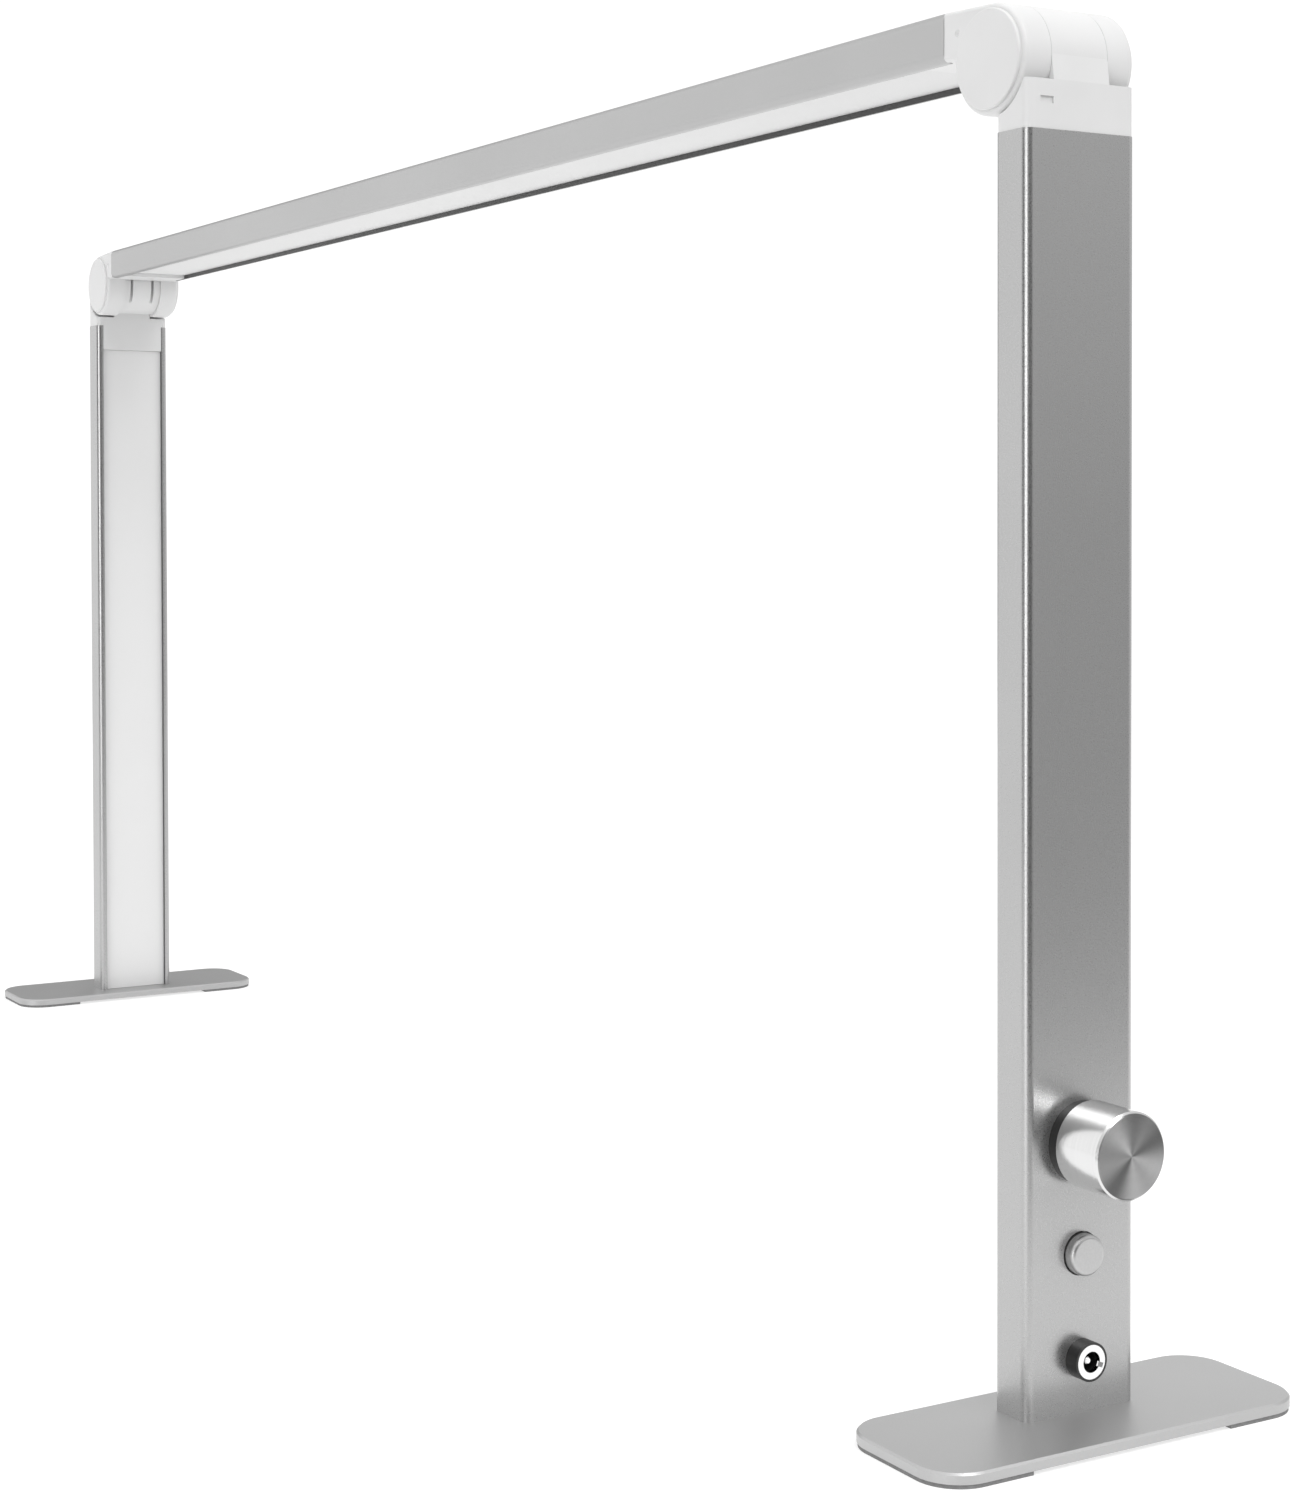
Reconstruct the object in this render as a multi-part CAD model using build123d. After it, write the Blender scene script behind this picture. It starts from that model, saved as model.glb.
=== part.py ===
"""Free-standing folding desk light: a bar on two legs that fold inward under it.

Frame: +Z up, origin on the table under the middle of the bar, +X along the bar towards the
leg that carries the controls, +Y towards the back. Lengths are millimetres.

The bar and the legs are the same aluminium channel. A piece of it is drawn lying along +Z with
its outer face on x = 0 and its open side facing -X, so that "depth" below is measured inward
from the outer face. The right-hand parts are drawn in place and the left-hand ones are mirrored.
"""

import os

from build123d import *

# Overall size
HEIGHT = 400.0  # table to the top of the bar
HALF_LENGTH = 402.0  # middle of the bar to a leg's outer face

# The channel shared by the bar and the legs
CHANNEL_W = 39.0
CHANNEL_T = 14.6
CHANNEL_CORNER = 2.6
BACK_WALL = 1.8
RIM = 3.2  # side wall, seen as a rim beside the diffuser
RECESS = 2.0  # rim face down to the diffuser
SLIDE_FIT = 0.1  # play on each side of a piece that slides into the channel
DIFFUSER_T = 1.8
GROOVE = 1.2  # depth of the slots that hold the diffuser
CAVITY_W = CHANNEL_W - 2 * RIM
DIFFUSER_TOP = CHANNEL_T - RECESS - DIFFUSER_T  # depth of the diffuser's hidden face

# Base plates and pads
PAD_T = 1.2
PLATE_T = 3.0
PLATE_L = 129.0
PLATE_INNER = 11.7  # plate beyond the leg's inner face
PLATE_OUTER = 23.0  # plate beyond the leg's outer face
PLATE_CORNER = 13.0
PLATE_EDGE = 0.6
PAD_L = 29.2
PAD_INSET = 0.3
PLATE_TOP = PAD_T + PLATE_T
PLATE_W = PLATE_INNER + CHANNEL_T + PLATE_OUTER
PLATE_X = HALF_LENGTH + PLATE_OUTER - PLATE_W / 2

# Hinge, placed from its axis, which is as far below the bar's top as it is inside the leg
AXIS_INSET = 16.8
AXIS_X = HALF_LENGTH - AXIS_INSET
AXIS_Z = HEIGHT - AXIS_INSET
CAP_REACH = 21.0  # axis to the cut ends of the aluminium
CAP_GAP = 0.2  # the caps' faces lie this far inside the channel's
CAP_PLUG = 13.0  # length of cap inside the channel
CAP_LOW = AXIS_INSET - CHANNEL_T + CAP_GAP
CAP_HIGH = AXIS_INSET - CAP_GAP
CAP_W = CHANNEL_W - 2 * CAP_GAP
EAR_R = 15.7
EAR_IN = 10.0  # inner faces of the ears, from the middle
EAR_OUT = CAP_W / 2
EAR_EDGE = 1.4  # rounding of an ear's outer face
DIMPLE_R = 1.3  # moulding mark in the front ear's root
DIMPLE_DEPTH = 0.6
DIMPLE_PLACE = (-14.8, 9.6)
KNUCKLE_HALF = 9.9
KNUCKLE_R = 14.3
TONGUE_R = 15.7
TONGUE_END = -4.6
TONGUE_GAP = 0.4
WEB_R = 14.8  # hollow in the bar cap that the knuckle turns in
SHOULDER_R = 16.7  # hollow in the leg cap that clears the ears
SHOULDER_Z = -7.2
CATCH = (1.2, 5.8, 2.0)  # shallow pocket in the leg cap: depth counted on both sides, width, height
CATCH_PLACE = (-11.7, -12.9)
SLOT = (7.0, 13.0)  # relief slots on the knuckle's inner side
SLOT_MIDDLE = -3.5
SLOT_BETWEEN = (4.9, 6.5)
PIN_R = 2.5
PIN_FIT = 0.05
PIN_SOCKET_R = 1.8
PIN_SOCKET_L = 1.6
PIN_PAST_NUT = 0.3
HEAD_R = 4.2
HEAD_T = 2.6
HINGE_NUT_R = 4.5
HINGE_NUT_T = 3.2
COUNTERBORE_R = 4.9
COUNTERBORE_FLOOR = 14.7
WASHER_R = 7.0
WASHER_T = 0.8
WASHER_PLAY = 0.4
COVER_R = 14.16
COVER_T = 1.1
COVER_EDGE = 0.5
SPIGOT_R = 4.0
SPIGOT_L = 0.8

# Light boards
BOARD_T = 1.6
LED_BOARD_W = 12.0
LED = (0.8, 2.8, 3.5)  # depth, width, length
LED_PITCH = 15.0
BOARD_MARGIN = 4.0  # bare end left at each end of a light board's run

# Foot inserts and their screws
INSERT_H = 8.8
SCREW_R = 1.7
SCREW_HEAD_R = 3.4
SCREW_FIT = 0.05
SCREW_Y = 9.0
SCREW_REACH = 10.4
INSERT_DEPTH = DIFFUSER_TOP - SLIDE_FIT

# Controls on the right leg, by height above the table
KNOB_Z = 80.5
BUTTON_Z = 49.0
JACK_Z = 19.5
CONTROL_BOARD_Z = (33.0, 96.0)
CONTROL_BOARD_W = 24.0
CONTROL_BOARD_DEPTH = DIFFUSER_TOP - SLIDE_FIT - BOARD_T

KNOB_R = 12.3
KNOB_REACH = 21.3  # leg face to the knob's front
KNOB_GAP = 3.6  # leg face to the knob's back
KNOB_EDGE = 0.8
KNOB_BACK_EDGE = 0.4
KNOB_HOLLOW_R = 6.6
KNOB_HOLLOW_L = 3.8
SHAFT_R = 3.0
SHAFT_TIP = 17.0
SHAFT_FOOT = 4.8
RING_R = 11.6
RING_T = 3.2
BUSH_R = 3.45
BUSH_REACH = 4.0
POT_SIDE = 12.0
POT_NUT_R = 5.5
POT_NUT_T = 2.0

BUTTON_R = 5.85
BUTTON_PROUD = 3.5
BUTTON_EDGE = 1.2
BUTTON_FOOT = 3.3
BUTTON_FLANGE_R = 7.0
BUTTON_FLANGE_T = 1.0
BUTTON_HOLE_R = 6.25
PLUNGER_R = 1.5
PLUNGER_FOOT = 6.6
SWITCH_SIDE = 6.0
SWITCH_TOP = 5.6
SWITCH_WELL = 8.2

JACK_R = 5.5
JACK_PROUD = 4.6
JACK_BODY_R = 3.95
JACK_FOOT = 9.4
JACK_RING_R = 4.8
JACK_RING_T = 1.5
JACK_NOTCH = (1.4, 2.6)  # width, reach across the ring
JACK_NOTCH_TURN = 20.0
SOCKET_R = 2.95
SOCKET_FOOT = 4.0
JACK_PIN_R = 1.05
JACK_PIN_EDGE = 0.3
JACK_NUT_R = 5.7
JACK_NUT_T = 2.0

ROUND_FIT = 0.1  # radial play of fixed round pieces in their holes
END_PLAY = 0.2  # gap past the end of a shaft
THREAD_FIT = 0.02  # radial play of a nut or a pushed-on knob
CLEAR = 1.0  # how far a cutting shape runs past what it cuts
LEG_TOP = AXIS_Z - CAP_REACH
BAR_END = AXIS_X - CAP_REACH
CAP_CUT = 0.1  # end play between a cap's plug and the diffuser


# Helpers


def slab(depth, width, along):
    """A block in channel coordinates: (from, to) depth, full width, (from, to) along."""
    size = (depth[1] - depth[0], width, along[1] - along[0])
    middle = (-(depth[0] + depth[1]) / 2, 0, (along[0] + along[1]) / 2)
    return Pos(*middle) * Box(*size)


def peg(radius, depth):
    """A round peg square to the channel's outer face, between two depths."""
    middle = -(depth[0] + depth[1]) / 2
    return Pos(middle, 0, 0) * Rot(0, 90, 0) * Cylinder(radius, depth[1] - depth[0])


def hex_nut(radius, bore, depth):
    """A hexagon nut whose axis is square to the channel's outer face."""
    body = extrude(RegularPolygon(radius, 6) - Circle(bore), depth[1] - depth[0])
    return Pos(-depth[1], 0, 0) * Rot(0, 90, 0) * body


def prism(outline, y_low, y_high):
    """An outline drawn in X and Z, made solid between two Y values."""
    return extrude(Plane.XZ.offset(-y_high) * outline, y_high - y_low, dir=(0, -1, 0))


def both_sides(outline, near, far):
    """The same prism in front of the middle and behind it."""
    return prism(outline, near, far) + prism(outline, -far, -near)


def along_bar(piece):
    """A channel piece laid along the bar, from its right end, open side down."""
    return Pos(BAR_END, 0, HEIGHT) * Rot(0, -90, 0) * piece


def on_leg(piece, height=0.0):
    """A channel piece stood up as the right leg's, at a height above the table."""
    return Pos(HALF_LENGTH, 0, height) * piece


def at_hinge(piece):
    return Pos(AXIS_X, 0, AXIS_Z) * piece


# The channel and what slides into it


def channel(length):
    outside = Pos(-CHANNEL_T / 2, 0) * RectangleRounded(CHANNEL_T, CHANNEL_W, CHANNEL_CORNER)
    cavity_t = CHANNEL_T - BACK_WALL
    cavity = Pos(-(BACK_WALL + CHANNEL_T) / 2, 0) * Rectangle(cavity_t, CAVITY_W)
    groove_depth = DIFFUSER_TOP + DIFFUSER_T / 2
    groove = Pos(-groove_depth, 0) * Rectangle(DIFFUSER_T, CAVITY_W + 2 * GROOVE)
    return extrude(outside - cavity - groove, length)


def diffuser(start, end):
    width = CAVITY_W + 2 * GROOVE - 2 * SLIDE_FIT
    return slab((DIFFUSER_TOP, DIFFUSER_TOP + DIFFUSER_T), width, (start, end))


def led_board(start, end):
    return slab((BACK_WALL, BACK_WALL + BOARD_T), LED_BOARD_W, (start, end))


def leds(start, end):
    """A row of separate light chips, centred on its board."""
    count = int((end - start) // LED_PITCH)
    first = (start + end - (count - 1) * LED_PITCH) / 2
    face = BACK_WALL + BOARD_T
    chips = []
    for index in range(count):
        middle = first + index * LED_PITCH
        reach = (middle - LED[2] / 2, middle + LED[2] / 2)
        chips.append(slab((face, face + LED[0]), LED[1], reach))
    return Compound(chips)


# Hinge


def cap_plug():
    """The end of a hinge cap that fills the channel, from its cut end inward along +Z."""
    depth = (BACK_WALL, CHANNEL_T - CAP_GAP)
    return slab(depth, CAVITY_W - 2 * SLIDE_FIT, (0, CAP_PLUG))


def bar_cap():
    """Fork fixed in the end of the bar: a solid root, a web and two ears."""
    low_left = (-CAP_REACH, CAP_LOW)
    high_left = (-CAP_REACH, CAP_HIGH)
    slope = (EAR_R - CAP_HIGH) / CAP_REACH
    web_end = TONGUE_END - TONGUE_GAP
    web_top = CAP_HIGH + slope * (web_end + CAP_REACH)

    root = Polygon(low_left, high_left, (0, EAR_R), (0, CAP_LOW), align=None)
    ears = both_sides(root + Circle(EAR_R), EAR_IN, EAR_OUT)
    outer_edges = ears.edges().filter_by_position(Axis.Y, -EAR_OUT, -EAR_OUT)
    outer_edges += ears.edges().filter_by_position(Axis.Y, EAR_OUT, EAR_OUT)
    ears = fillet(outer_edges.filter_by(lambda edge: edge.center().X > -CAP_REACH + CAP_CUT), EAR_EDGE)
    ears -= prism(Circle(PIN_R + ROUND_FIT), -CAP_W, CAP_W)
    ears -= both_sides(Circle(COUNTERBORE_R), COUNTERBORE_FLOOR, EAR_OUT)
    dimple_x, dimple_z = DIMPLE_PLACE
    ears -= Pos(dimple_x, -EAR_OUT - DIMPLE_R + DIMPLE_DEPTH, dimple_z) * Sphere(DIMPLE_R)

    web_outline = Polygon(
        low_left, high_left, (web_end, web_top), (web_end, CAP_LOW), align=None
    ) - Circle(WEB_R)
    web = prism(web_outline, -EAR_IN, EAR_IN)

    plug = Pos(-CAP_REACH, 0, AXIS_INSET) * Rot(0, -90, 0) * cap_plug()
    return at_hinge(ears + web + plug)


def leg_cap():
    """Block fixed in the top of the leg, with the knuckle that turns between the ears."""
    block_t = CHANNEL_T - 2 * CAP_GAP
    block_x = (CAP_LOW + CAP_HIGH) / 2
    section = RectangleRounded(block_t, CAP_W, CHANNEL_CORNER - CAP_GAP)
    block = Pos(block_x, 0, -CAP_REACH) * extrude(section, CAP_REACH + SHOULDER_Z)
    block -= both_sides(Circle(SHOULDER_R), KNUCKLE_HALF, CAP_W)
    block -= Pos(CAP_HIGH, *CATCH_PLACE) * Box(*CATCH)

    outer_side = Polygon(
        (CAP_LOW, -CAP_REACH),
        (2 * TONGUE_R, -CAP_REACH),
        (2 * TONGUE_R, TONGUE_R),
        (TONGUE_END, TONGUE_R),
        (TONGUE_END, 0),
        (CAP_LOW, 0),
        align=None,
    )
    tongue = Circle(TONGUE_R) & outer_side
    neck = Polygon(
        (CAP_LOW, -CAP_REACH), (CAP_HIGH, -CAP_REACH), (CAP_HIGH, SHOULDER_Z),
        (TONGUE_R, 0), (CAP_LOW, 0), align=None,
    )
    knuckle_outline = Circle(KNUCKLE_R) + tongue + neck - Circle(PIN_R + PIN_FIT)
    knuckle = prism(knuckle_outline, -KNUCKLE_HALF, KNUCKLE_HALF)
    washer_seat = EAR_IN - WASHER_T - SLIDE_FIT
    knuckle -= both_sides(Circle(WASHER_R + WASHER_PLAY), washer_seat, KNUCKLE_HALF)
    slot_outline = Pos(-KNUCKLE_R, SLOT_MIDDLE) * Rectangle(*SLOT)
    knuckle -= both_sides(slot_outline, *SLOT_BETWEEN)

    plug = Pos(AXIS_INSET, 0, -CAP_REACH) * Rot(180, 0, 0) * cap_plug()
    return at_hinge(block + knuckle + plug)


def hinge_pin():
    """Screw across the hinge: its head sits in the front ear."""
    shank_end = COUNTERBORE_FLOOR + HINGE_NUT_T + PIN_PAST_NUT
    head_top = -COUNTERBORE_FLOOR - HEAD_T
    shank = prism(Circle(PIN_R), -COUNTERBORE_FLOOR, shank_end)
    head = prism(Circle(HEAD_R), head_top, -COUNTERBORE_FLOOR)
    socket = prism(RegularPolygon(PIN_SOCKET_R, 6), head_top, head_top + PIN_SOCKET_L)
    return at_hinge(shank + head - socket)


def hinge_nut():
    outline = RegularPolygon(HINGE_NUT_R, 6) - Circle(PIN_R + ROUND_FIT)
    return at_hinge(prism(outline, COUNTERBORE_FLOOR, COUNTERBORE_FLOOR + HINGE_NUT_T))


def friction_washers():
    outline = Circle(WASHER_R) - Circle(PIN_R + ROUND_FIT)
    front = prism(outline, -EAR_IN, WASHER_T - EAR_IN)
    back = prism(outline, EAR_IN - WASHER_T, EAR_IN)
    return at_hinge(Compound([front, back]))


def hinge_cover(side):
    """Round lid pressed over the screw, on the front (-1) or the back (+1) ear."""
    lid = Cylinder(COVER_R, COVER_T, align=(Align.CENTER, Align.CENTER, Align.MIN))
    lid = fillet(lid.edges().sort_by(Axis.Z)[-1], COVER_EDGE)
    spigot = Cylinder(SPIGOT_R, SPIGOT_L, align=(Align.CENTER, Align.CENTER, Align.MAX))
    return at_hinge(Pos(0, side * EAR_OUT, 0) * Rot(-side * 90, 0, 0) * (lid + spigot))


# Foot


def screw_places():
    depth = (BACK_WALL + INSERT_DEPTH) / 2
    return [Pos(HALF_LENGTH - depth, y, PAD_T) for y in (-SCREW_Y, SCREW_Y)]


def screw(play=0.0):
    """Countersunk screw from below, or with play the hole that takes it."""
    upright = (Align.CENTER, Align.CENTER, Align.MIN)
    cone_h = SCREW_HEAD_R - SCREW_R
    head = Cone(SCREW_HEAD_R + play, SCREW_R + play, cone_h, align=upright)
    return head + Cylinder(SCREW_R + play, SCREW_REACH + play, align=upright)


def base_plate():
    outline = RectangleRounded(PLATE_W, PLATE_L, PLATE_CORNER)
    plate = Pos(PLATE_X, 0, PAD_T) * extrude(outline, PLATE_T)
    plate = chamfer(plate.faces().sort_by(Axis.Z)[-1].edges(), PLATE_EDGE)
    for place in screw_places():
        plate -= place * screw(SCREW_FIT)
    return plate


def base_screws():
    return Compound([place * screw() for place in screw_places()])


def foot_pad(side):
    """Pad under the front (-1) or the back (+1) end of the plate, cut square on the inside."""
    width = PLATE_W - 2 * PAD_INSET
    length = PLATE_L - 2 * PAD_INSET
    pad = extrude(RectangleRounded(width, length, PLATE_CORNER - PAD_INSET), PAD_T)
    kept = Pos(0, side * (length - PAD_L) / 2, PAD_T / 2) * Box(width, PAD_L, PAD_T)
    return Pos(PLATE_X, 0, 0) * (pad & kept)


def foot_insert():
    block = on_leg(
        slab(
            (BACK_WALL, INSERT_DEPTH),
            CAVITY_W - 2 * SLIDE_FIT,
            (PLATE_TOP, PLATE_TOP + INSERT_H),
        )
    )
    for place in screw_places():
        block -= place * screw(SCREW_FIT)
    return block


# Controls


def leg_with_holes():
    leg = on_leg(channel(LEG_TOP - PLATE_TOP), PLATE_TOP)
    through = (-CLEAR, BACK_WALL + CLEAR)
    leg -= on_leg(peg(BUSH_R + ROUND_FIT, through), KNOB_Z)
    leg -= on_leg(peg(BUTTON_HOLE_R, through), BUTTON_Z)
    leg -= on_leg(peg(JACK_BODY_R + ROUND_FIT, through), JACK_Z)
    return leg


def control_board():
    depth = (CONTROL_BOARD_DEPTH, CONTROL_BOARD_DEPTH + BOARD_T)
    return on_leg(slab(depth, CONTROL_BOARD_W, CONTROL_BOARD_Z))


def potentiometer():
    case = slab((BACK_WALL, CONTROL_BOARD_DEPTH), POT_SIDE, (-POT_SIDE / 2, POT_SIDE / 2))
    bush = peg(BUSH_R, (-BUSH_REACH, BACK_WALL))
    well = peg(SHAFT_R + PIN_FIT, (-BUSH_REACH - CLEAR, SHAFT_FOOT + END_PLAY))
    return on_leg(case + bush - well, KNOB_Z)


def potentiometer_nut():
    return on_leg(hex_nut(POT_NUT_R, BUSH_R + THREAD_FIT, (-POT_NUT_T, 0)), KNOB_Z)


def knob_ring():
    ring = peg(RING_R, (-RING_T, 0)) - peg(KNOB_HOLLOW_R, (-RING_T - CLEAR, CLEAR))
    return on_leg(ring, KNOB_Z)


def knob():
    body = peg(KNOB_R, (-KNOB_REACH, -KNOB_GAP))
    body = chamfer(body.edges().sort_by(Axis.X)[-1], KNOB_EDGE)
    body = chamfer(body.edges().sort_by(Axis.X)[0], KNOB_BACK_EDGE)
    hollow_end = -KNOB_GAP - KNOB_HOLLOW_L
    body -= peg(KNOB_HOLLOW_R, (hollow_end, 0))
    body -= peg(SHAFT_R + THREAD_FIT, (-SHAFT_TIP - END_PLAY, 0))
    return on_leg(body, KNOB_Z)


def knob_shaft():
    return on_leg(peg(SHAFT_R, (-SHAFT_TIP, SHAFT_FOOT)), KNOB_Z)


def button_cap():
    cap = peg(BUTTON_R, (-BUTTON_PROUD, BUTTON_FOOT))
    cap = fillet(cap.edges().sort_by(Axis.X)[-1], BUTTON_EDGE)
    flange = peg(BUTTON_FLANGE_R, (BUTTON_FOOT - BUTTON_FLANGE_T, BUTTON_FOOT))
    return on_leg(cap + flange, BUTTON_Z)


def switch_plunger():
    return on_leg(peg(PLUNGER_R, (BUTTON_FOOT, PLUNGER_FOOT)), BUTTON_Z)


def switch_body():
    reach = (-SWITCH_SIDE / 2, SWITCH_SIDE / 2)
    case = slab((SWITCH_TOP, CONTROL_BOARD_DEPTH), SWITCH_SIDE, reach)
    return on_leg(case - peg(PLUNGER_R + PIN_FIT, (SWITCH_TOP - CLEAR, SWITCH_WELL)), BUTTON_Z)


def jack_housing():
    """Socket barrel outside the leg, with its threaded body through the wall."""
    body = peg(JACK_R, (-JACK_PROUD, 0)) + peg(JACK_BODY_R, (0, JACK_FOOT))
    body -= peg(JACK_RING_R, (-JACK_PROUD - CLEAR, JACK_RING_T - JACK_PROUD))
    body -= peg(SOCKET_R, (-JACK_PROUD - CLEAR, SOCKET_FOOT))
    return on_leg(body, JACK_Z)


def jack_ring():
    ring = peg(JACK_RING_R, (-JACK_PROUD, JACK_RING_T - JACK_PROUD))
    ring -= peg(SOCKET_R, (-JACK_PROUD - CLEAR, 0))
    width, reach = JACK_NOTCH
    notch = Pos(JACK_PROUD, SOCKET_R, 0) * Box(2 * CLEAR, reach, width)
    return on_leg(ring - Rot(-JACK_NOTCH_TURN, 0, 0) * notch, JACK_Z)


def jack_pin():
    pin = peg(JACK_PIN_R, (JACK_RING_T - JACK_PROUD, SOCKET_FOOT))
    pin = chamfer(pin.edges().sort_by(Axis.X)[-1], JACK_PIN_EDGE)
    return on_leg(pin, JACK_Z)


def jack_nut():
    depth = (BACK_WALL, BACK_WALL + JACK_NUT_T)
    return on_leg(hex_nut(JACK_NUT_R, JACK_BODY_R + THREAD_FIT, depth), JACK_Z)


# Assembly: node name to solid


def leg_parts(shell, board_start):
    """What both legs have, drawn as the right leg's."""
    end = LEG_TOP - CAP_PLUG - CAP_CUT
    board = (board_start, end - BOARD_MARGIN)
    return {
        "leg_extrusion": shell,
        "leg_diffuser": on_leg(diffuser(PLATE_TOP + CAP_CUT, end)),
        "leg_led_board": on_leg(led_board(*board)),
        "leg_leds": on_leg(leds(*board)),
        "leg_hinge_cap": leg_cap(),
        "foot_insert": foot_insert(),
        "base_plate": base_plate(),
        "base_screws": base_screws(),
        "front_foot_pad": foot_pad(-1),
        "back_foot_pad": foot_pad(1),
    }


def hinge_parts():
    """What each end of the bar has, drawn at the right end."""
    return {
        "bar_hinge_cap": bar_cap(),
        "hinge_pin": hinge_pin(),
        "hinge_nut": hinge_nut(),
        "friction_washers": friction_washers(),
        "front_hinge_cover": hinge_cover(-1),
        "back_hinge_cover": hinge_cover(1),
    }


BAR_L = 2 * BAR_END
BAR_INNER = (CAP_PLUG + CAP_CUT, BAR_L - CAP_PLUG - CAP_CUT)
BAR_BOARD = (BAR_INNER[0] + BOARD_MARGIN, BAR_INNER[1] - BOARD_MARGIN)
INSERT_TOP = PLATE_TOP + INSERT_H

nodes = {
    "bar_extrusion": along_bar(channel(BAR_L)),
    "bar_diffuser": along_bar(diffuser(*BAR_INNER)),
    "bar_led_board": along_bar(led_board(*BAR_BOARD)),
    "bar_leds": along_bar(leds(*BAR_BOARD)),
    "control_board": control_board(),
    "potentiometer": potentiometer(),
    "potentiometer_nut": potentiometer_nut(),
    "knob_ring": knob_ring(),
    "knob": knob(),
    "knob_shaft": knob_shaft(),
    "button_cap": button_cap(),
    "switch_plunger": switch_plunger(),
    "switch_body": switch_body(),
    "jack_housing": jack_housing(),
    "jack_ring": jack_ring(),
    "jack_pin": jack_pin(),
    "jack_nut": jack_nut(),
}

plain_leg = on_leg(channel(LEG_TOP - PLATE_TOP), PLATE_TOP)
right_side = leg_parts(leg_with_holes(), CONTROL_BOARD_Z[1] + BOARD_MARGIN) | hinge_parts()
left_side = leg_parts(plain_leg, INSERT_TOP + BOARD_MARGIN) | hinge_parts()
for name, solid in right_side.items():
    nodes["right_" + name] = solid
for name, solid in left_side.items():
    nodes["left_" + name] = mirror(solid, about=Plane.YZ)

os.makedirs("parts", exist_ok=True)
for name, solid in nodes.items():
    export_step(solid, f"parts/{name}.step")
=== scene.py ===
"""Looks of the folding desk light: materials, softened edges, studio, camera."""

import math

import bmesh
import bpy
from mathutils import Matrix, Vector


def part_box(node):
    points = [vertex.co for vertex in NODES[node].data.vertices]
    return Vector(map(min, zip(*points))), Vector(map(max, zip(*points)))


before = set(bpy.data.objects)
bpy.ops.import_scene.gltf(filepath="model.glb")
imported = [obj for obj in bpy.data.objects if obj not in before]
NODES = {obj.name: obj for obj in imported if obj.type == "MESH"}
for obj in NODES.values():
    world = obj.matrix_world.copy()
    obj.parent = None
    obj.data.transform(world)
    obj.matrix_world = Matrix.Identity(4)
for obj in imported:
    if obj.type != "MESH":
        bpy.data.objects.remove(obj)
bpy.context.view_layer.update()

MM = 0.001
NOISE_LOW = 0.3
NOISE_HIGH = 0.7
WHITE = (1.0, 1.0, 1.0, 1.0)


# Shader helpers


def new_material(name):
    """An empty material with its shader and output, and the object's own coordinates."""
    material = bpy.data.materials.new(name)
    material.use_nodes = True
    tree = material.node_tree
    shader = tree.nodes["Principled BSDF"]
    coords = tree.nodes.new("ShaderNodeTexCoord")
    return material, tree, shader, coords.outputs["Object"]


def stretched(tree, source, scale):
    mapping = tree.nodes.new("ShaderNodeMapping")
    mapping.inputs["Scale"].default_value = scale
    tree.links.new(source, mapping.inputs["Vector"])
    return mapping.outputs["Vector"]


def noise(tree, source, scale, detail=2.0, roughness=0.5):
    node = tree.nodes.new("ShaderNodeTexNoise")
    node.inputs["Scale"].default_value = scale
    node.inputs["Detail"].default_value = detail
    node.inputs["Roughness"].default_value = roughness
    tree.links.new(source, node.inputs["Vector"])
    return node.outputs["Fac"]


def spread(tree, source, low, high):
    """A noise value remapped so that its middle range runs from low to high."""
    node = tree.nodes.new("ShaderNodeMapRange")
    node.inputs["From Min"].default_value = NOISE_LOW
    node.inputs["From Max"].default_value = NOISE_HIGH
    node.inputs["To Min"].default_value = low
    node.inputs["To Max"].default_value = high
    tree.links.new(source, node.inputs["Value"])
    return node.outputs["Result"]


def tinted(tree, source, dark, light):
    """Grey that follows a noise value between two levels."""
    ramp = tree.nodes.new("ShaderNodeValToRGB")
    ramp.color_ramp.elements[0].position = NOISE_LOW
    ramp.color_ramp.elements[1].position = NOISE_HIGH
    ramp.color_ramp.elements[0].color = (dark, dark, dark, 1)
    ramp.color_ramp.elements[1].color = (light, light, light, 1)
    tree.links.new(source, ramp.inputs["Fac"])
    return ramp.outputs["Color"]


def bump(tree, source, distance, strength, under=None):
    node = tree.nodes.new("ShaderNodeBump")
    node.inputs["Distance"].default_value = distance
    node.inputs["Strength"].default_value = strength
    tree.links.new(source, node.inputs["Height"])
    if under is not None:
        tree.links.new(under, node.inputs["Normal"])
    return node.outputs["Normal"]


def number(tree, operation, first, second):
    """One step of arithmetic on a socket and a number or another socket."""
    node = tree.nodes.new("ShaderNodeMath")
    node.operation = operation
    for slot, value in enumerate((first, second)):
        if isinstance(value, float):
            node.inputs[slot].default_value = value
        else:
            tree.links.new(value, node.inputs[slot])
    return node.outputs["Value"]


# Painted shade: the inner walls of the light channel are mixed towards this near-black grey to stand
# for the shade in the recess.
CHANNEL_SKIN = 1.0 * MM
CAVITY_HALF = 16.4 * MM
CHANNEL_PAINTED_SHADE = (0.10, 0.10, 0.10, 1.0)


def inside_channel(tree, coords, across, outer_face):
    """1 on the walls of the channel's open side, where painted shade goes, 0 on everything seen from
    outside.
    """
    split = tree.nodes.new("ShaderNodeSeparateXYZ")
    tree.links.new(coords, split.inputs["Vector"])
    depth = number(tree, "ABSOLUTE", split.outputs[across], 0.0)
    deep = number(tree, "LESS_THAN", depth, outer_face - CHANNEL_SKIN)
    sideways = number(tree, "ABSOLUTE", split.outputs["Y"], 0.0)
    return number(tree, "MULTIPLY", deep, number(tree, "LESS_THAN", sideways, CAVITY_HALF))


# Materials


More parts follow.
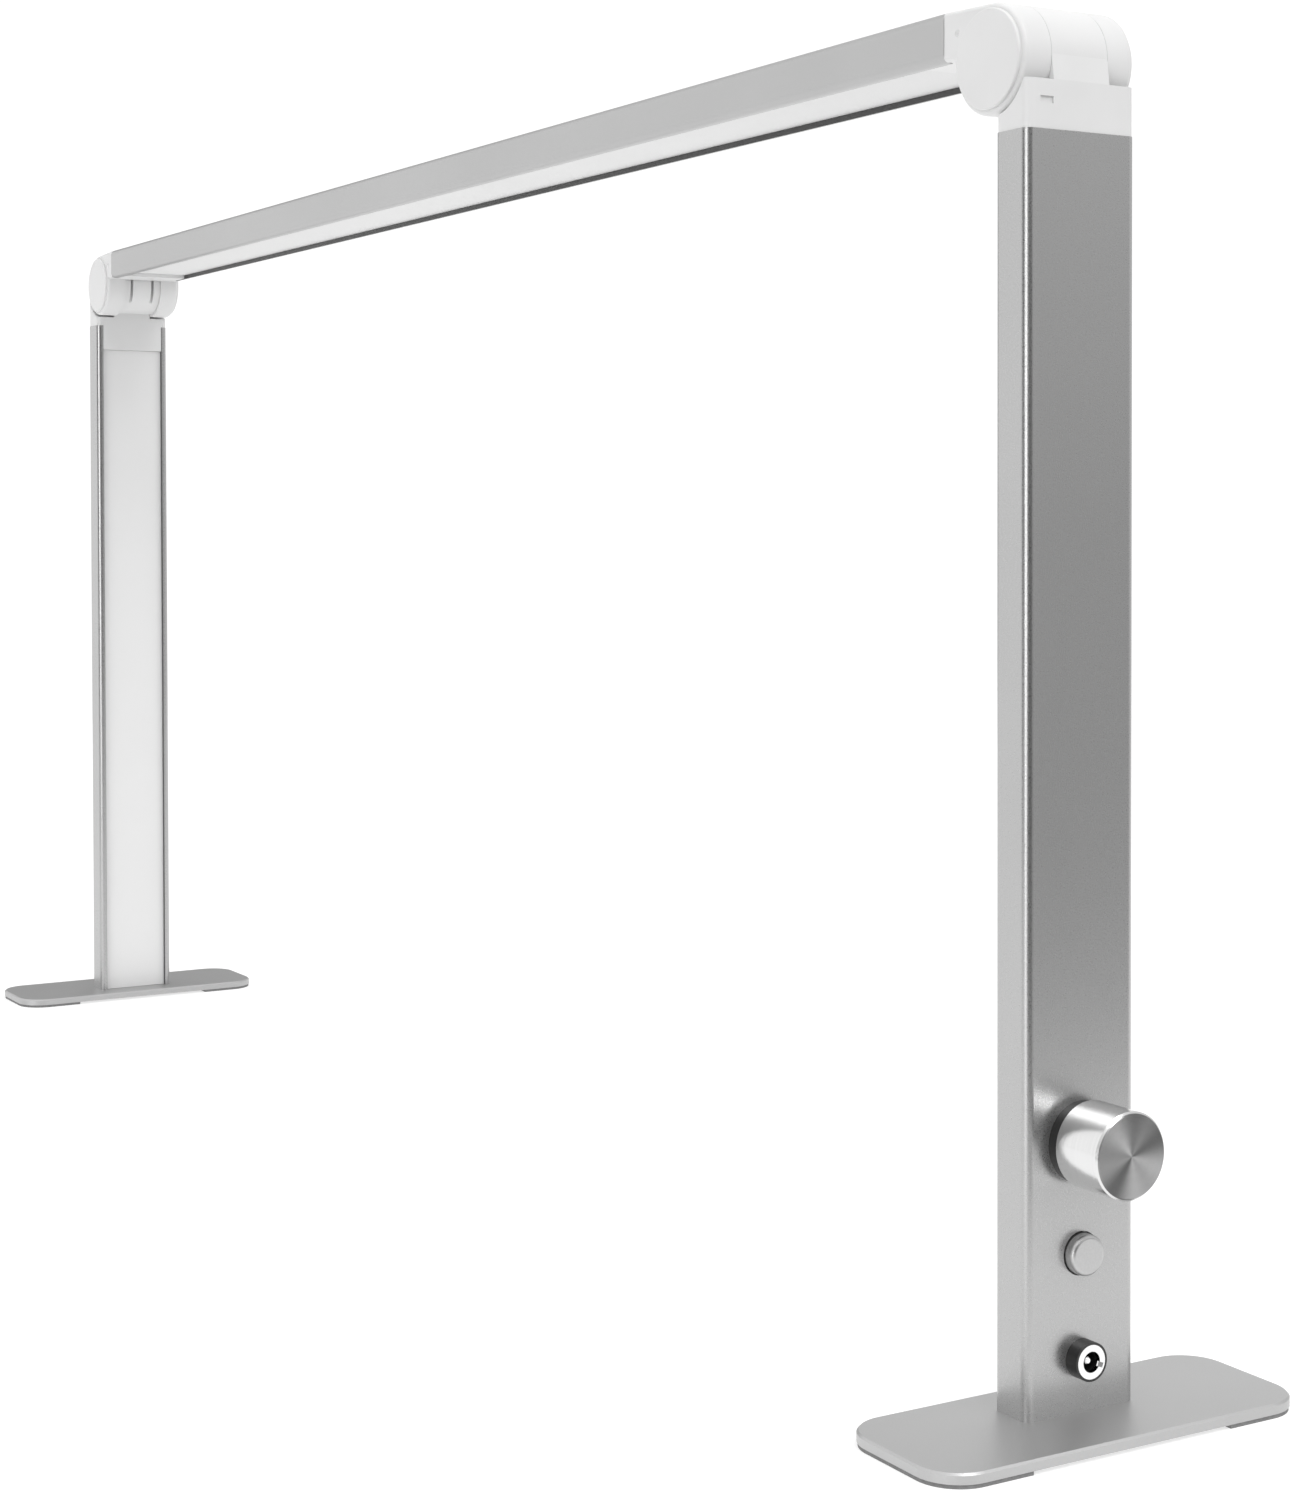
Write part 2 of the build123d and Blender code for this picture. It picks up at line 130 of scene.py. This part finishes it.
def blasted_aluminium(name, along, grey, rough, painted_shade_channel=None):
    """Blasted and anodised extrusion: fine grain, faint die lines along one axis, and painted shade
    on the channel's inner walls when a channel is given.
    """
    material, tree, shader, coords = new_material(name)
    across = [1100.0, 1100.0, 1100.0]
    across["XYZ".index(along)] = 3.0
    die_lines = noise(tree, stretched(tree, coords, across), 1.0, 1.0)
    grain = noise(tree, coords, 2600.0, 2.0, 0.65)
    patches = noise(tree, coords, 9.0, 3.0)
    colour = tinted(tree, patches, grey - 0.015, grey + 0.015)
    # Painted shade on the channel's inner walls.
    if painted_shade_channel is not None:
        shade = tree.nodes.new("ShaderNodeMix")
        shade.data_type = "RGBA"
        shade.inputs["B"].default_value = CHANNEL_PAINTED_SHADE
        tree.links.new(inside_channel(tree, coords, *painted_shade_channel), shade.inputs["Factor"])
        tree.links.new(colour, shade.inputs["A"])
        colour = shade.outputs["Result"]
    shader.inputs["Metallic"].default_value = 0.88
    tree.links.new(colour, shader.inputs["Base Color"])
    tree.links.new(spread(tree, grain, rough - 0.05, rough + 0.06), shader.inputs["Roughness"])
    lines = bump(tree, die_lines, 0.02 * MM, 0.25)
    tree.links.new(bump(tree, grain, 0.04 * MM, 0.35, lines), shader.inputs["Normal"])
    return material


def moulded_plastic(name, grey, rough=0.42, grain_depth=0.03):
    """Satin moulding with a fine spark texture and a slight unevenness."""
    material, tree, shader, coords = new_material(name)
    grain = noise(tree, coords, 1800.0, 3.0, 0.6)
    flow = noise(tree, coords, 60.0, 2.0)
    tree.links.new(tinted(tree, flow, grey * 0.985, grey * 1.015), shader.inputs["Base Color"])
    tree.links.new(spread(tree, grain, rough - 0.05, rough + 0.05), shader.inputs["Roughness"])
    sink = bump(tree, flow, 0.05 * MM, 0.15)
    tree.links.new(bump(tree, grain, grain_depth * MM, 0.4, sink), shader.inputs["Normal"])
    return material


def frosted_diffuser(name, grey):
    """Milky extruded acrylic, lit faintly from behind."""
    material, tree, shader, coords = new_material(name)
    frost = noise(tree, coords, 3200.0, 2.0, 0.6)
    cloud = noise(tree, coords, 12.0, 2.0)
    tree.links.new(tinted(tree, cloud, grey - 0.01, grey + 0.01), shader.inputs["Base Color"])
    tree.links.new(spread(tree, frost, 0.50, 0.60), shader.inputs["Roughness"])
    tree.links.new(bump(tree, frost, 0.02 * MM, 0.3), shader.inputs["Normal"])
    shader.inputs["Specular IOR Level"].default_value = 0.25
    shader.inputs["Subsurface Weight"].default_value = 0.15
    shader.inputs["Subsurface Radius"].default_value = (0.002, 0.002, 0.002)
    shader.inputs["Emission Color"].default_value = WHITE
    shader.inputs["Emission Strength"].default_value = 0.02
    return material


# Painted reflection: light and dark sectors on the knob's flat face are mixed towards this dark
# grey. They stand for the highlights of its spun finish and turn with the knob.
PAINTED_SECTOR_DARK = (0.12, 0.12, 0.12, 1.0)
SECTOR_LEVEL = 0.76
BROAD_SECTORS = (2.0, 0.16)
NARROW_SECTORS = (5.0, 0.10)


def painted_spin_reflection(tree, around, face):
    """0 beside a flat end of a turned piece; on it, painted light and dark reflection sectors about
    the axis.
    """
    split = tree.nodes.new("ShaderNodeSeparateXYZ")
    tree.links.new(around, split.inputs["Vector"])
    angle = number(tree, "ARCTAN2", split.outputs["Z"], split.outputs["Y"])
    sectors = SECTOR_LEVEL
    for count, depth in (NARROW_SECTORS, BROAD_SECTORS):
        wave = number(tree, "SINE", number(tree, "MULTIPLY", angle, count), 0.0)
        sectors = number(tree, "ADD", number(tree, "MULTIPLY", wave, depth), sectors)
    return number(tree, "MULTIPLY", number(tree, "GREATER_THAN", split.outputs["X"], face), sectors)


def turned_metal(name, centre, face, grey=0.72, rough=0.16):
    """Metal turned about X: rings that follow the distance from the axis, and painted reflection
    sectors on its flat end.
    """
    material, tree, shader, coords = new_material(name)
    shift = tree.nodes.new("ShaderNodeMapping")
    shift.inputs["Location"].default_value = [-value for value in centre]
    tree.links.new(coords, shift.inputs["Vector"])
    flat = stretched(tree, shift.outputs["Vector"], (0.0, 1.0, 1.0))
    length = tree.nodes.new("ShaderNodeVectorMath")
    length.operation = "LENGTH"
    tree.links.new(flat, length.inputs[0])
    split = tree.nodes.new("ShaderNodeSeparateXYZ")
    tree.links.new(shift.outputs["Vector"], split.inputs["Vector"])
    rings = tree.nodes.new("ShaderNodeCombineXYZ")
    tree.links.new(length.outputs["Value"], rings.inputs["X"])
    tree.links.new(split.outputs["X"], rings.inputs["Y"])
    cut = noise(tree, stretched(tree, rings.outputs["Vector"], (9000.0, 5200.0, 1.0)), 1.0, 2.0, 0.7)
    shader.inputs["Metallic"].default_value = 1.0
    # Painted reflection sectors on the flat end.
    shade = tree.nodes.new("ShaderNodeMix")
    shade.data_type = "RGBA"
    shade.inputs["B"].default_value = PAINTED_SECTOR_DARK
    tree.links.new(painted_spin_reflection(tree, shift.outputs["Vector"], face), shade.inputs["Factor"])
    tree.links.new(tinted(tree, cut, grey - 0.03, grey + 0.03), shade.inputs["A"])
    tree.links.new(shade.outputs["Result"], shader.inputs["Base Color"])
    tree.links.new(spread(tree, cut, rough - 0.04, rough + 0.05), shader.inputs["Roughness"])
    tree.links.new(bump(tree, cut, 0.02 * MM, 0.35), shader.inputs["Normal"])
    shader.inputs["Anisotropic"].default_value = 0.75
    tangent = tree.nodes.new("ShaderNodeTangent")
    tangent.direction_type = "RADIAL"
    tangent.axis = "X"
    tree.links.new(tangent.outputs["Tangent"], shader.inputs["Tangent"])
    return material


def plain_metal(name, grey, rough):
    """Bare or plated metal with a fine even grain."""
    material, tree, shader, coords = new_material(name)
    grain = noise(tree, coords, 1500.0, 3.0, 0.6)
    shader.inputs["Metallic"].default_value = 1.0
    tree.links.new(tinted(tree, grain, grey - 0.03, grey + 0.03), shader.inputs["Base Color"])
    tree.links.new(spread(tree, grain, rough - 0.04, rough + 0.05), shader.inputs["Roughness"])
    tree.links.new(bump(tree, grain, 0.01 * MM, 0.3), shader.inputs["Normal"])
    return material


def pad_rubber(name):
    """Dull grey rubber with a coarse grain."""
    material, tree, shader, coords = new_material(name)
    grain = noise(tree, coords, 900.0, 4.0, 0.7)
    tree.links.new(tinted(tree, grain, 0.16, 0.22), shader.inputs["Base Color"])
    tree.links.new(spread(tree, grain, 0.70, 0.85), shader.inputs["Roughness"])
    tree.links.new(bump(tree, grain, 0.08 * MM, 0.5), shader.inputs["Normal"])
    return material


PHOSPHOR = (1.0, 0.85, 0.35, 1.0)


def light_chip(name):
    """Yellow phosphor of a small light chip."""
    material, tree, shader, coords = new_material(name)
    grain = noise(tree, coords, 2000.0, 2.0)
    mix = tree.nodes.new("ShaderNodeMix")
    mix.data_type = "RGBA"
    mix.blend_type = "MULTIPLY"
    mix.inputs["Factor"].default_value = 1.0
    mix.inputs["B"].default_value = PHOSPHOR
    tree.links.new(tinted(tree, grain, 0.75, 0.85), mix.inputs["A"])
    tree.links.new(mix.outputs["Result"], shader.inputs["Base Color"])
    shader.inputs["Roughness"].default_value = 0.35
    return material


BAR_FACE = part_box("bar_extrusion")[1][2]
LEG_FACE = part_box("right_leg_extrusion")[1][0]
KNOB_LOW, KNOB_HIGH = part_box("knob")
KNOB_CENTRE = (KNOB_LOW + KNOB_HIGH) / 2
KNOB_EDGE = 0.3 * MM
KNOB_FACE = (KNOB_HIGH - KNOB_LOW).x / 2 - KNOB_EDGE

MATERIALS = {
    "aluminium_bar": blasted_aluminium("aluminium_bar", "X", 0.46, 0.33, painted_shade_channel=("Z", BAR_FACE)),
    "aluminium_leg": blasted_aluminium("aluminium_leg", "Z", 0.46, 0.30, painted_shade_channel=("X", LEG_FACE)),
    "plate": blasted_aluminium("plate", "Y", 0.50, 0.44),
    "white_plastic": moulded_plastic("white_plastic", 0.72),
    "leg_diffuser": frosted_diffuser("leg_diffuser", 0.765),
    "bar_diffuser": frosted_diffuser("bar_diffuser", 0.69),
    "black_plastic": moulded_plastic("black_plastic", 0.012, rough=0.34),
    "circuit_board": moulded_plastic("circuit_board", 0.75, rough=0.30),
    "rubber": pad_rubber("rubber"),
    "knob_metal": turned_metal("knob_metal", KNOB_CENTRE, KNOB_FACE),
    "button_metal": plain_metal("button_metal", 0.52, 0.36),
    "chrome": plain_metal("chrome", 0.85, 0.10),
    "steel": plain_metal("steel", 0.50, 0.32),
    "led": light_chip("led"),
}


# CAD nodes kept as they are, with softened edges


SHARP_EDGE = math.radians(35)


def dress(node, material, bevel=0.0, segments=2):
    """Gives a CAD node its material, and rounds its sharp edges by bevel millimetres."""
    piece = NODES[node]
    piece.data.materials.clear()
    piece.data.materials.append(MATERIALS[material])
    if bevel:
        edge = piece.modifiers.new("soft_edges", "BEVEL")
        edge.width = bevel * MM
        edge.segments = segments
        edge.limit_method = "ANGLE"
        edge.angle_limit = SHARP_EDGE
        edge.harden_normals = True
        edge.use_clamp_overlap = True
    for face in piece.data.polygons:
        face.use_smooth = True


dress("bar_extrusion", "aluminium_bar", 0.25)
dress("bar_diffuser", "bar_diffuser", 0.15)
dress("bar_led_board", "circuit_board")
dress("bar_leds", "led")
for side in ("left", "right"):
    dress(side + "_leg_extrusion", "aluminium_leg", 0.25)
    dress(side + "_leg_diffuser", "leg_diffuser", 0.15)
    dress(side + "_leg_led_board", "circuit_board")
    dress(side + "_leg_leds", "led")
    dress(side + "_leg_hinge_cap", "white_plastic", 0.5, 3)
    dress(side + "_bar_hinge_cap", "white_plastic", 0.5, 3)
    dress(side + "_foot_insert", "white_plastic", 0.2)
    dress(side + "_base_plate", "plate", 0.3)
    dress(side + "_base_screws", "steel", 0.1)
    for end in ("front", "back"):
        dress(f"{side}_{end}_foot_pad", "rubber", 0.2)
        dress(f"{side}_{end}_hinge_cover", "white_plastic")
    dress(side + "_hinge_pin", "steel", 0.1)
    dress(side + "_hinge_nut", "steel", 0.1)
    dress(side + "_friction_washers", "steel", 0.05)
dress("control_board", "circuit_board")
dress("potentiometer", "steel", 0.1)
dress("potentiometer_nut", "steel", 0.1)
dress("knob_ring", "black_plastic", 0.2)
dress("knob", "knob_metal", 0.15, 3)
dress("knob_shaft", "steel", 0.1)
dress("button_cap", "button_metal", 0.1)
dress("switch_plunger", "black_plastic")
dress("switch_body", "black_plastic", 0.1)
dress("jack_housing", "black_plastic", 0.2)
dress("jack_ring", "chrome", 0.1)
dress("jack_pin", "chrome", 0.1)
dress("jack_nut", "steel", 0.1)


# Studio


FLOOR_GREY = (0.49, 0.50)
FLOOR_GLOW = 0.60
FLOOR_CORNERS = ((-2.4, -1.4, 0.0), (0.72, -1.4, 0.0), (0.72, 2.4, 0.0), (-2.4, 2.4, 0.0))


def floor():
    """Pale floor that ends just past the right leg, so that the backdrop closes the picture."""
    mesh = bpy.data.meshes.new("studio_floor")
    shape = bmesh.new()
    shape.faces.new([shape.verts.new(corner) for corner in FLOOR_CORNERS])
    shape.to_mesh(mesh)
    shape.free()
    piece = bpy.data.objects.new("studio_floor", mesh)
    bpy.context.scene.collection.objects.link(piece)
    material, tree, shader, coords = new_material("studio_floor")
    paper = noise(tree, coords, 40.0, 2.0)
    tree.links.new(tinted(tree, paper, *FLOOR_GREY), shader.inputs["Base Color"])
    shader.inputs["Roughness"].default_value = 0.9
    shader.inputs["Emission Color"].default_value = WHITE
    shader.inputs["Emission Strength"].default_value = FLOOR_GLOW
    mesh.materials.append(material)


def soft_light(name, place, target, size, power):
    lamp = bpy.data.lights.new(name, "AREA")
    lamp.shape = "RECTANGLE"
    lamp.size, lamp.size_y = size
    lamp.energy = power
    piece = bpy.data.objects.new(name, lamp)
    bpy.context.scene.collection.objects.link(piece)
    piece.location = place
    piece.rotation_euler = (Vector(target) - Vector(place)).to_track_quat("-Z", "Y").to_euler()


def sky_patch(tree, coords, level, direction, outer, inner, value):
    """Turns the sky's level towards value around a direction, from outer to inner degrees."""
    facing = tree.nodes.new("ShaderNodeVectorMath")
    facing.operation = "DOT_PRODUCT"
    facing.inputs[1].default_value = Vector(direction).normalized()
    tree.links.new(coords, facing.inputs[0])
    edge = tree.nodes.new("ShaderNodeMapRange")
    edge.interpolation_type = "SMOOTHSTEP"
    edge.inputs["From Min"].default_value = math.cos(math.radians(outer))
    edge.inputs["From Max"].default_value = math.cos(math.radians(inner))
    tree.links.new(facing.outputs["Value"], edge.inputs["Value"])
    blend = tree.nodes.new("ShaderNodeMix")
    tree.links.new(edge.outputs["Result"], blend.inputs["Factor"])
    if isinstance(level, float):
        blend.inputs["A"].default_value = level
    else:
        tree.links.new(level, blend.inputs["A"])
    blend.inputs["B"].default_value = value
    return blend.outputs["Result"]


# Level of the plain backdrop that the camera sees
BACKDROP = 1.08

# Sky that lights the piece and that the metal mirrors. Each patch: direction, outer and
# inner degrees, level
SKY_LEVEL = 0.80
SKY_PATCHES = (
    ((-0.1, -0.3, 0.95), 55, 30, 1.20),
    ((0.76, 0.62, 0.35), 40, 12, 0.95),
    ((0.78, 0.60, -0.25), 34, 14, 0.42),
    ((0.97, -0.26, -0.08), 38, 24, 0.03),
    ((-0.72, -0.68, 0.15), 45, 25, 1.15),
    ((-0.17, -0.98, 0.00), 24, 14, 0.04),
    ((0.42, -0.90, 0.05), 17, 9, 3.40),
    ((-0.863, 0.505, 0.0), 38, 23, 1.08),
    ((-0.96, 0.24, 0.12), 26, 9, 0.10),
)


KEY_PLACE = (1.5, 0.1, 1.5)
KEY_TARGET = (0.4, 0.0, 0.3)
KEY_SIZE = (0.8, 0.8)
KEY_POWER = 13.0


def studio():
    """Sky, floor and one soft light over the right leg."""
    scene = bpy.context.scene
    world = bpy.data.worlds.new("studio")
    scene.world = world
    world.use_nodes = True
    tree = world.node_tree
    coords = tree.nodes.new("ShaderNodeTexCoord").outputs["Generated"]
    level = SKY_LEVEL
    for patch in SKY_PATCHES:
        level = sky_patch(tree, coords, level, *patch)
    seen = tree.nodes.new("ShaderNodeMix")
    path = tree.nodes.new("ShaderNodeLightPath")
    tree.links.new(path.outputs["Is Camera Ray"], seen.inputs["Factor"])
    tree.links.new(level, seen.inputs["A"])
    seen.inputs["B"].default_value = BACKDROP
    tree.links.new(seen.outputs["Result"], tree.nodes["Background"].inputs["Strength"])
    tree.nodes["Background"].inputs["Color"].default_value = WHITE
    scene.view_settings.view_transform = "Standard"
    floor()
    soft_light("key", KEY_PLACE, KEY_TARGET, KEY_SIZE, KEY_POWER)


CAMERA_PLACE = (0.9653, -0.4703, 0.2521)
CAMERA_AZIMUTH = 59.66
CAMERA_ELEVATION = 1.14
CAMERA_ROLL = -0.13
CAMERA_LENS = 62.32
CAMERA_SHIFT_Y = -0.1128


def camera():
    """Camera beside the right leg, level with its middle, looking along the bar."""
    azimuth = math.radians(CAMERA_AZIMUTH)
    elevation = math.radians(CAMERA_ELEVATION)
    roll = math.radians(CAMERA_ROLL)
    back = Vector(
        (
            math.sin(azimuth) * math.cos(elevation),
            -math.cos(azimuth) * math.cos(elevation),
            math.sin(elevation),
        )
    )
    right = (-back).cross(Vector((0, 0, 1))).normalized()
    up = back.cross(right)
    level = Matrix((right, up, back)).transposed()
    data = bpy.data.cameras.new("camera")
    data.sensor_fit = "AUTO"
    data.sensor_width = 36.0
    data.lens = CAMERA_LENS
    data.shift_y = CAMERA_SHIFT_Y
    data.clip_start = 0.01
    piece = bpy.data.objects.new("camera", data)
    bpy.context.scene.collection.objects.link(piece)
    piece.matrix_world = (
        Matrix.Translation(CAMERA_PLACE)
        @ level.to_4x4()
        @ Matrix.Rotation(roll, 4, "Z")
    )
    bpy.context.scene.camera = piece


studio()
camera()
